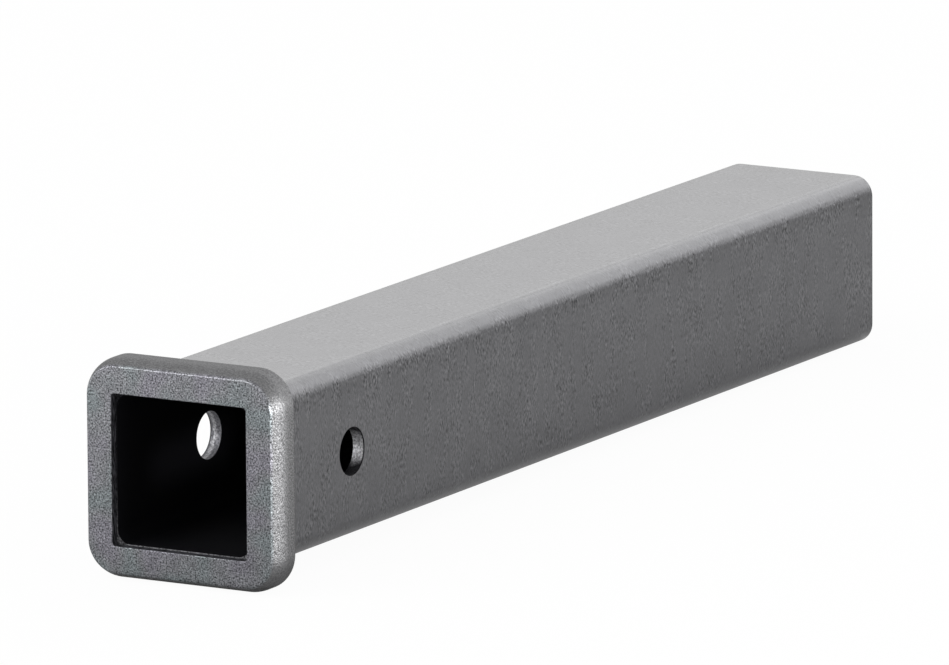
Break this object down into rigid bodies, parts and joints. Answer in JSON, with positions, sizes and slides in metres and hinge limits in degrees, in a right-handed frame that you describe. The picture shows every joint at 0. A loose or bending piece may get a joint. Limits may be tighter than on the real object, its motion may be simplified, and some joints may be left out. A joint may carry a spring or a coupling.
{
  "type": "receiver tube",
  "caption": "Square steel receiver tube with a crowned reinforcing collar round its mouth and a cross hole for a hitch pin.",
  "frame": {"origin": "centre of the mouth, in the plane of the collar's flat front face", "axes": "+Y runs down the bore from the mouth to the rear end, +X is the right side seen from the mouth, +Z is the top"},
  "size_m": [0.0794, 0.4572, 0.0794],
  "materials": {
    "tube_steel": "matte grey, unpainted mill-finished steel with fine mottling",
    "collar_steel": "matte grey, blasted forged steel with a visible grit",
    "weld_metal": "rippled grey weld metal"
  },
  "bodies": {
    "root": {"square_tube": "tube_steel", "front_collar": "collar_steel", "collar_weld": "weld_metal"}
  },
  "joints": []
}
